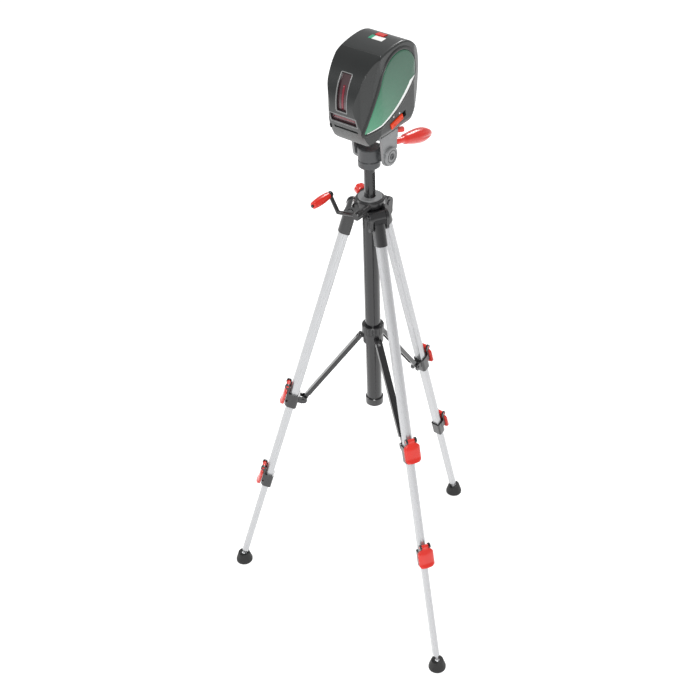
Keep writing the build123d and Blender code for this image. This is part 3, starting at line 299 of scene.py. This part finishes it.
# ---------------------------------------------------------------- side panels
def panel_rim(sign, count=180):
    """The teardrop's outline as (forward, height) points in order, evenly spaced, from the CAD panel."""
    name = "side_panel_right" if sign > 0 else "side_panel_left"
    flat = np.array([(COLUMN_Y - v.co.y, v.co.z - LASER_FLOOR) for v in NODES[name].data.vertices])
    centre = (flat.max(0) + flat.min(0)) / 2 + np.array((-0.006, 0.004))
    angle = np.arctan2(flat[:, 1] - centre[1], flat[:, 0] - centre[0])
    reach = np.hypot(*(flat - centre).T)
    keep = {}
    for a, r, p in zip(angle, reach, flat):
        key = round(a / (2 * pi) * 240)
        if key not in keep or r > keep[key][0]:
            keep[key] = (r, p)
    loop = np.array([keep[key][1] for key in sorted(keep)])
    closed = np.vstack([loop, loop[:1]])
    run = np.concatenate([[0], np.cumsum(np.hypot(*np.diff(closed, axis=0).T))])
    even = np.linspace(0, run[-1], count, endpoint=False)
    ring = np.column_stack([np.interp(even, run, closed[:, i]) for i in (0, 1)])
    for _ in range(3):
        ring = 0.5 * ring + 0.25 * (np.roll(ring, 1, 0) + np.roll(ring, -1, 0))
    return ring


def outward(ring):
    """Unit normals of a closed anticlockwise outline."""
    run = np.roll(ring, -1, 0) - np.roll(ring, 1, 0)
    run /= np.hypot(*run.T)[:, None]
    return np.column_stack([run[:, 1], -run[:, 0]])


def side_face(forward):
    """Half width of the laser's side wall at a distance forward, from the two ends of the taper."""
    nose = ranged_value(forward, 0.016, 0.057, 0.0, 0.009)
    tail = ranged_value(-forward, 0.058, 0.077, 0.0, 0.006)
    return LASER_HALF - nose - tail


def ranged_value(value, low, high, to_low, to_high):
    share = min(max((value - low) / (high - low), 0.0), 1.0)
    return to_low + share * (to_high - to_low)


def panel_piece(sign):
    """Green panel, crowned in the middle and rolled over at its rim."""
    ring, side = panel_rim(sign), "right" if sign > 0 else "left"
    centre = ring.mean(0)
    steps = [(1.0, -1.0), (1.0, 0.35), (0.992, 0.75), (0.975, 0.98), (0.93, 1.1)]
    steps += [(share, 1.1 + 0.1 * (1 - share)) for share in (0.8, 0.65, 0.5, 0.35)]
    points = []
    for share, proud in steps:
        for p in centre + (ring - centre) * share:
            points.append(laser_point(sign * (side_face(p[0]) + proud * MM), *p))
    faces = grid_faces(len(steps), len(ring), wrap_columns=True)
    first = (len(steps) - 1) * len(ring)
    points.append(laser_point(sign * (side_face(centre[0]) + PANEL_CROWN * MM), *centre))
    faces += [(first + i, len(points) - 1, first + (i + 1) % len(ring)) for i in range(len(ring))]
    made = piece(f"green_panel_{side}", points, faces, "laser_green", "laser")
    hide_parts(f"side_panel_{side}")


def rim_bead(sign):
    """Raised dark band round the panel."""
    ring, side = panel_rim(sign), "right" if sign > 0 else "left"
    normal = outward(ring)
    section = [(0.25, -0.6), (0.25, 0.5), (0.6, 0.95), (1.4, 1.1), (3.8, 1.0), (4.9, 0.6), (5.2, -0.6)]
    points = []
    for out, proud in section:
        for p, n in zip(ring, normal):
            q = p + n * out * MM
            points.append(laser_point(sign * (side_face(q[0]) + proud * MM), *q))
    faces = grid_faces(len(section), len(ring), wrap_columns=True)
    piece(f"panel_rim_{side}", points, faces, "ring_grey", "laser")


def white_stripe(sign):
    """White swoosh along the panel's rear and lower edge, broad at the rear and thin at the toe."""
    ring, side = panel_rim(sign), "right" if sign > 0 else "left"
    normal = outward(ring)
    start = int(np.argmin(np.hypot(*(ring - np.array((-0.059, 0.066))).T)))
    stop = int(np.argmin(np.hypot(*(ring - np.array((0.040, 0.0215))).T)))
    order = [(start + i) % len(ring) for i in range((stop - start) % len(ring) + 1)]
    points = []
    for share, i in zip(np.linspace(0, 1, len(order)), order):
        width = 0.5 + 5.4 * min(share / 0.08, 1.0) * (1 - share) ** 0.9   # rounded start, thin end
        for inset in (0.5, 0.5 + width * 0.5, 0.5 + width):
            q = ring[i] - normal[i] * inset * MM
            points.append(laser_point(sign * (side_face(q[0]) + 1.19 * MM), *q))
    made = piece(f"white_stripe_{side}", points, grid_faces(len(order), 3), "accent_white",
                 "laser")
    thickened(made, 0.5, 0.0)


# ---------------------------------------------------------------- windows
def window_frame(name, half, low, high, target):
    """Light frame round a window, laid on the curved front of the cover."""
    middle, reach = (low + high) / 2, (high - low) / 2
    corners = 8
    bands = ((-0.2, -0.9), (-0.1, 0.25), (0.45, 0.35), (1.1, 0.3), (1.3, -0.5))
    outline = []
    for quarter in range(4):
        for step in range(corners):
            angle = (quarter + step / (corners - 1)) * pi / 2
            sx, sz = (1, -1, -1, 1)[quarter], (1, 1, -1, -1)[quarter]
            outline.append((sx * (half - 0.6), middle + sz * (reach - 0.6), cos(angle), sin(angle)))
    edges = []
    for i, start in enumerate(outline):
        end = outline[(i + 1) % len(outline)]
        steps = 10 if abs(start[0] - end[0]) + abs(start[1] - end[1]) > 2 else 1
        edges += [tuple(a + (b - a) * k / steps for a, b in zip(start, end)) for k in range(steps)]
    points = []
    for out, proud in bands:
        for x, z, nx, nz in edges:
            px, pz = (x + nx * (0.6 + out)) * MM, (z + nz * (0.6 + out)) * MM
            hit = target.ray_cast(laser_point(px, FAR, pz), INTO_FRONT)[0]
            y = window_depth(x, z, nx, nz, target) if hit is None or hit.y > COLUMN_Y - 0.03 else hit.y
            points.append(Vector((px, y - proud * MM, LASER_FLOOR + pz)))
    faces = grid_faces(len(bands), len(edges), wrap_columns=True)
    piece(name, points, faces, "frame_grey", "laser")


def window_depth(x, z, nx, nz, target):
    """Depth of the cover just outside a window's edge, for rays that would fall into the opening."""
    for out in (1.8, 2.6):
        start = laser_point((x + nx * out) * MM, FAR, (z + nz * out) * MM)
        hit = target.ray_cast(start, INTO_FRONT)[0]
        if hit is not None:
            return hit.y
    return COLUMN_Y - 0.05


def emitter(name, half, low, high):
    """Dim red lens line behind a window, on the pane's own surface."""
    target = surface_tree("vertical_window", "horizontal_window")
    upright = half < high - low
    points = []
    for i in range(LENS_ROWS):
        for j in range(LENS_COLUMNS):
            lengthways, widthways = i / (LENS_ROWS - 1), j / (LENS_COLUMNS - 1)
            across, up = (widthways, lengthways) if upright else (lengthways, widthways)
            x, z = -half + 2 * half * across, low + (high - low) * up
            hit = target.ray_cast(laser_point(x * MM, FAR, z * MM), INTO_FRONT)[0]
            y = hit.y if hit is not None else COLUMN_Y - 0.045
            points.append(Vector((x * MM, y - 0.15 * MM, LASER_FLOOR + z * MM)))
    made = piece(name, points, grid_faces(LENS_ROWS, LENS_COLUMNS), "lens_red", "laser")
    thickened(made, 0.3)


def laid_patch(name, spans, side, surface, target, steps=(14, 10)):
    """Thin plate on the shell's top or side; spans are two (start, end) ranges in mm."""
    (a0, a1), (b0, b1) = spans
    rows, columns = steps
    points = []
    for i in range(rows):
        for j in range(columns):
            a = a0 + (a1 - a0) * i / (rows - 1)
            b = b0 + (b1 - b0) * j / (columns - 1)
            if side == "top":
                start, ray = laser_point(a * MM, b * MM, FAR), Vector((0, 0, -1))
            else:
                start, ray = laser_point(FAR, a * MM, b * MM), Vector((-1, 0, 0))
            hit = target.ray_cast(start, ray)[0]
            points.append(hit - ray * 0.1 * MM)
    made = piece(name, points, grid_faces(rows, columns), surface, "laser")
    thickened(made, 0.3, 0.0)


def top_label():
    """White and green label plate ahead of the power button."""
    shell = surface_tree("laser_housing", "laser_front_cover")
    laid_patch("top_label", ((-10.0, 12.0), (-26.0, -16.0)), "top", "label_white", shell)


def switch_marks():
    """Two short white marks beside the lock switch, above its slot."""
    shell = surface_tree("laser_housing")
    for k, start in enumerate((-26.0, -13.0)):
        laid_patch(f"switch_mark_{k}", ((start, start + 2.4), (25.4, 27.4)), "side", "accent_white",
                   shell, steps=(4, 4))


def body_of(node_name):
    bodies = frame["record"]["behaviour"]["bodies"]
    return next(name for name, nodes in bodies.items() if node_name in nodes)


def disc_face():
    """Dark groove ring and socket screw on the tilt disc."""
    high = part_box("tilt_disc")[1]
    place = frame_at((high.x, JOINTS["tilt"]["pos_m"][1], JOINTS["tilt"]["pos_m"][2]), (1, 0, 0), (0, 1, 0))
    body = body_of("tilt_disc")
    outer = [(9.4, -0.4), (9.4, 0.12), (8.2, 0.12), (8.2, -0.4)]
    revolved("disc_ring", outer, place, "black_plastic", body, closed=False)
    screw = [(4.6, -0.4), (4.6, 0.5), (4.1, 0.9), (2.4, 0.9), (2.2, 0.1), (0.2, 0.1)]
    revolved("disc_screw", screw, place, "dark_grey", body, closed=False)


# ---------------------------------------------------------------- turned parts
def revolved(name, profile, place, surface, body, segments=48, flute=None, closed=True):
    """A turned piece from (radius, along) in mm; flute(angle, radius, along) reshapes the radius."""
    points = []
    for radius, along in profile:
        for k in range(segments):
            angle = 2 * pi * k / segments
            r = flute(angle, radius, along) if flute else radius
            points.append(place @ Vector((r * cos(angle) * MM, r * sin(angle) * MM, along * MM)))
    faces = grid_faces(len(profile), segments, wrap_columns=True)
    if closed:
        faces.append(tuple(range(segments))[::-1])
        faces.append(tuple((len(profile) - 1) * segments + k for k in range(segments)))
    return piece(name, points, faces, surface, body)


def frame_at(origin, z_axis, x_hint=(1, 0, 0)):
    """Placement matrix with its Z along an axis."""
    z = Vector(z_axis).normalized()
    y = z.cross(Vector(x_hint)).normalized()
    x = y.cross(z)
    return Matrix.Translation(Vector(origin)) @ Matrix((x, y, z)).transposed().to_4x4()


def handle_grip():
    """Red pan handle: neck, bulb and eight shallow flutes at the fat end."""
    joint = JOINTS["handle_turn"]
    place = frame_at(joint["pos_m"], joint["axis"])
    neck, total, fat = 27.0, 93.0, 10.9
    profile = [(2.98, -9.0), (2.98, 0.2), (3.9, 0.5), (4.3, 1.2), (4.55, neck - 8), (5.0, neck - 4)]
    for k in range(1, 25):
        share = k / 24
        swell = sin(pi * (0.08 + 0.92 * share) ** 1.25) ** 0.62 if share < 1 else 0.0
        profile.append((max(5.0 * (1 - share) ** 2, 0) + (fat - 5.0 * (1 - share) ** 2) * swell * 0.985,
                        neck - 4 + share * (total - neck + 4)))
    profile[-1] = (0.4, total)

    def flute(angle, radius, along):
        start = ranged_value(along, neck + 22, neck + 40, 0, 1)
        end = ranged_value(along, total - 14, total - 1, 1, 0)
        return radius * (1 - 0.09 * start * end * (0.5 + 0.5 * cos(8 * angle)) ** 3)

    made = revolved("handle_grip", profile, place, "red_plastic", "tilt_handle", 96, flute)
    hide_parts("tilt_handle")


def crank_barrel():
    """Red crank grip with turned grooves near its ends."""
    low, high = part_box("crank_grip")
    centre = (low + high) / 2
    length, fat = (high.y - low.y) / MM, (high.x - low.x) / 2 / MM
    place = frame_at((centre.x, high.y, centre.z), (0, -1, 0))
    profile = [(2.1, 0.0)]
    for k in range(41):
        share = k / 40
        radius = fat - 1.35 * (2 * share - 1) ** 2
        if k in (4, 6, 34, 36):
            radius -= 0.35
        if k in (0, 40):
            radius -= 0.7
        profile.append((radius, 0.02 + share * (length - 0.04)))
    profile.append((2.1, length))
    made = revolved("crank_barrel", profile, place, "red_plastic", "crank_grip")
    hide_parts("crank_grip")


# ---------------------------------------------------------------- leg levers
def lever_paddle(side, part):
    """Flip lever: rolled arm round its pin, crowned paddle with a ridge and a finger lip."""
    name = f"{side}_{part}_lever"
    joint = JOINTS[f"{name}_flip"]
    along = Vector(leg_direction(side)).normalized()
    across = Vector(joint["axis"]).normalized()
    out = across.cross(along).normalized()
    if out.dot(Vector((along.x, along.y, 0))) > 0:
        out = -out
    pin = Vector(joint["pos_m"])
    flat = [((v.co - pin).dot(across), (v.co - pin).dot(along), (v.co - pin).dot(out))
            for v in NODES[name].data.vertices]
    half = max(p[0] for p in flat if p[1] < -0.010)
    length, thick = -min(p[1] for p in flat), 0.002
    rows, columns = 19, 17
    points = []
    for layer in (1, -1):
        for i in range(rows):
            drop = i / (rows - 1)
            z = -drop * length + 0.0015 * (1 - drop)
            width = half * (0.42 + 0.58 * ranged_value(drop, 0.1, 0.3, 0, 1))
            width *= 1 - 0.22 * ranged_value(drop, 0.86, 1.0, 0, 1) ** 2
            for j in range(columns):
                u = 2 * j / (columns - 1) - 1
                edge = 1 - abs(u) ** 6
                crown = 0.0022 * (1 - u * u) * ranged_value(drop, 0.15, 0.4, 0.2, 1)
                lip = 0.0016 * ranged_value(drop, 0.84, 0.95, 0, 1)
                ridge = 0.0006 * (abs(abs(u) - 0.78) < 0.07) * (0.25 < drop < 0.9)
                y = layer * thick * (0.55 + 0.45 * edge)
                if layer > 0:
                    y += (crown + ridge) * 0.9 + lip
                points.append(pin + across * (u * width) + along * z + out * y)
    count = rows * columns
    faces = [tuple(reversed(f)) for f in grid_faces(rows, columns)]
    faces += [tuple(count + i for i in f) for f in grid_faces(rows, columns)]
    rim = [j for j in range(columns)] + [i * columns + columns - 1 for i in range(1, rows)]
    rim += [(rows - 1) * columns + j for j in reversed(range(columns - 1))]
    rim += [i * columns for i in reversed(range(1, rows - 1))]
    for a, b in zip(rim, rim[1:] + rim[:1]):
        faces.append((a, b, count + b, count + a))
    made = piece(f"{name}_paddle", points, faces, "red_plastic", name)
    subdivided(made)
    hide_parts(name)


def lever_barrel(side, part):
    """The rolled eye of the lever with its cross pin, between the clamp's ears."""
    name = f"{side}_{part}_lever"
    joint = JOINTS[f"{name}_flip"]
    across = Vector(joint["axis"]).normalized()
    flat = [(v.co - Vector(joint["pos_m"])).dot(across) / MM for v in NODES[name].data.vertices
            if (v.co - Vector(joint["pos_m"])).length < 0.012]
    reach = max(flat)
    place = frame_at(joint["pos_m"], across, (0.3, 0.2, 1))
    neck = reach - 3.2
    profile = [(2.0, -reach), (2.0, -neck - 0.05), (2.9, -neck), (3.0, -neck + 0.4), (3.0, neck - 0.4),
               (2.9, neck), (2.0, neck + 0.05), (2.0, reach)]
    revolved(f"{name}_eye", profile, place, "red_plastic", name, 32)


# ---------------------------------------------------------------- stage
def soft_light(name, place, target, size, power):
    light = bpy.data.lights.new(name, "AREA")
    light.shape, light.size, light.energy = "DISK", size, power
    made = bpy.data.objects.new(name, light)
    made.location = place
    made.rotation_euler = (Vector(target) - Vector(place)).to_track_quat("-Z", "Y").to_euler()
    bpy.context.scene.collection.objects.link(made)


def stage():
    """Pale floor, an even pale world and soft lights."""
    mesh = bpy.data.meshes.new("floor")
    reach = 12.0
    mesh.from_pydata([(-reach, -reach, 0), (reach, -reach, 0), (reach, reach, 0), (-reach, reach, 0)],
                     [], [(0, 1, 2, 3)])
    pale = material("floor_pale", (0.95, 0.95, 0.95), 0.7, grain=0.02, mottle=0.01, wear=0.0)
    glow = pale.node_tree.nodes["Principled BSDF"]
    glow.inputs["Emission Color"].default_value = (1, 1, 1, 1)
    glow.inputs["Emission Strength"].default_value = 0.3
    mesh.materials.append(pale)
    floor = bpy.data.objects.new("floor", mesh)
    bpy.context.scene.collection.objects.link(floor)
    world = bpy.data.worlds.new("studio")
    world.use_nodes = True
    world.node_tree.nodes["Background"].inputs["Color"].default_value = (1.0, 1.0, 1.0, 1)
    world.node_tree.nodes["Background"].inputs["Strength"].default_value = 0.5
    bpy.context.scene.world = world
    middle = (0, 0, 0.55)
    soft_light("key", (1.3, -2.0, 2.6), middle, 1.0, 62.0)
    soft_light("fill", (-2.2, -1.2, 1.6), middle, 1.2, 22.0)
    soft_light("rim", (-0.4, 2.2, 2.4), middle, 1.0, 42.0)


def camera():
    """Seen from the front right and above."""
    turn, lift = radians(35.2), radians(37.48)
    back = Vector((sin(turn) * cos(lift), -cos(turn) * cos(lift), sin(lift)))
    made = bpy.data.objects.new("camera", bpy.data.cameras.new("camera"))
    made.location = (0.9386, -1.2889, 1.6617)
    made.rotation_euler = back.to_track_quat("Z", "Y").to_euler()
    made.data.lens, made.data.sensor_width = 67.36, 36.0
    made.data.shift_x = -0.0918
    bpy.context.scene.collection.objects.link(made)
    bpy.context.scene.camera = made
    bpy.context.scene.view_settings.view_transform = "Standard"


# ---------------------------------------------------------------- building
MATERIALS["lens_red"] = material("lens_red", (0.16, 0.006, 0.018), 0.2, grain=0.02, coat=0.5, wear=0.0)
paint_cad_nodes()
cover = surface_tree("laser_front_cover")
window_frame("vertical_window_frame", *TALL_WINDOW, cover)
window_frame("horizontal_window_frame", *WIDE_WINDOW, cover)
emitter("vertical_lens", *TALL_LENS)
emitter("horizontal_lens", *WIDE_LENS)
for sign in (1, -1):
    panel_piece(sign)
    rim_bead(sign)
    white_stripe(sign)
top_label()
switch_marks()
disc_face()
handle_grip()
crank_barrel()
for side in SIDES:
    for part in ("upper", "lower"):
        lever_paddle(side, part)
        lever_barrel(side, part)
stage()
camera()
